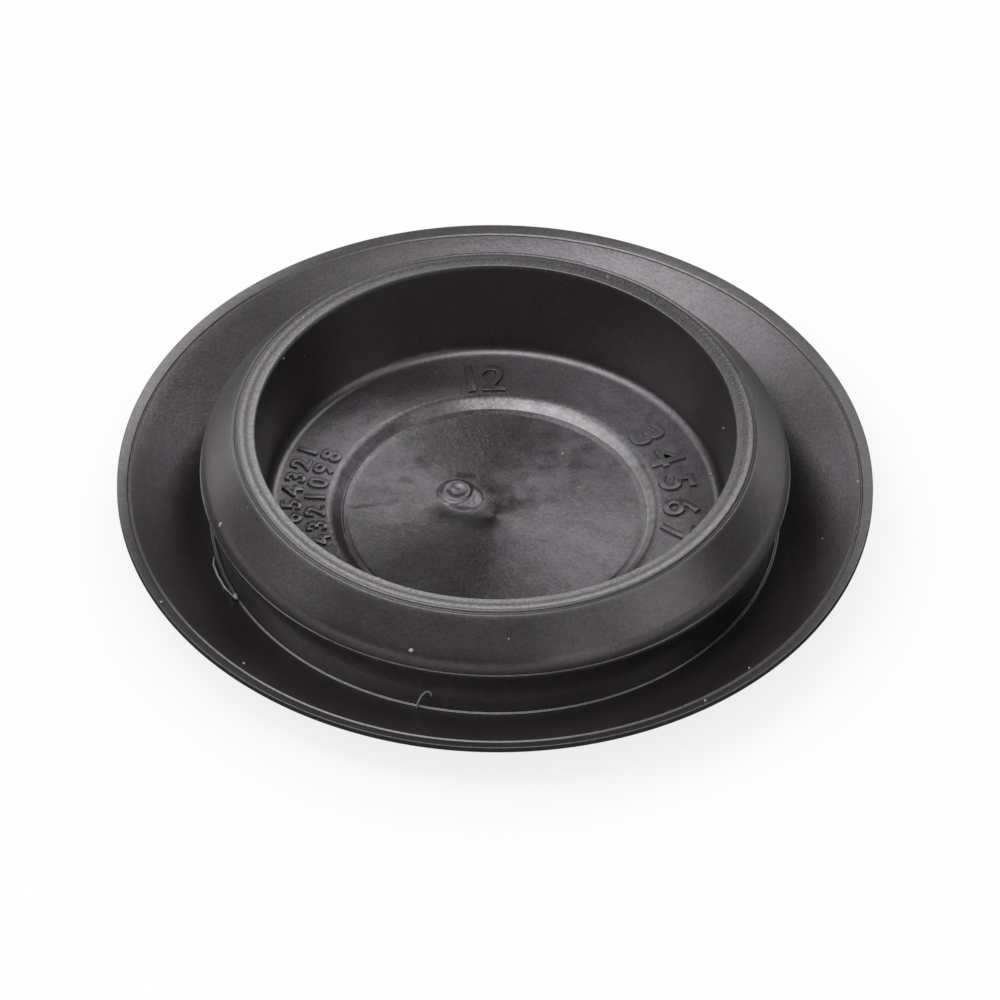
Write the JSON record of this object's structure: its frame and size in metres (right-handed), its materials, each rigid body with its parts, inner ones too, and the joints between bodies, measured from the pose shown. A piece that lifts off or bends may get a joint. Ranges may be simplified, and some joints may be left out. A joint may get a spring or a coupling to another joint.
{
  "type": "panel hole plug",
  "caption": "Round push-in plug with a snap-in barbed wall, a shallow cup and a dished sealing flange, for closing a hole in sheet metal.",
  "frame": {"origin": "centre of the flat cap face, on which the plug stands with its cup open upwards", "axes": "+Z along the plug's axis, from the cap face to the rim that enters the hole first"},
  "size_m": [0.035, 0.035, 0.0063],
  "materials": {
    "plug": "satin moulded, near black"
  },
  "bodies": {
    "root": {"hole_plug": "plug"}
  },
  "joints": []
}
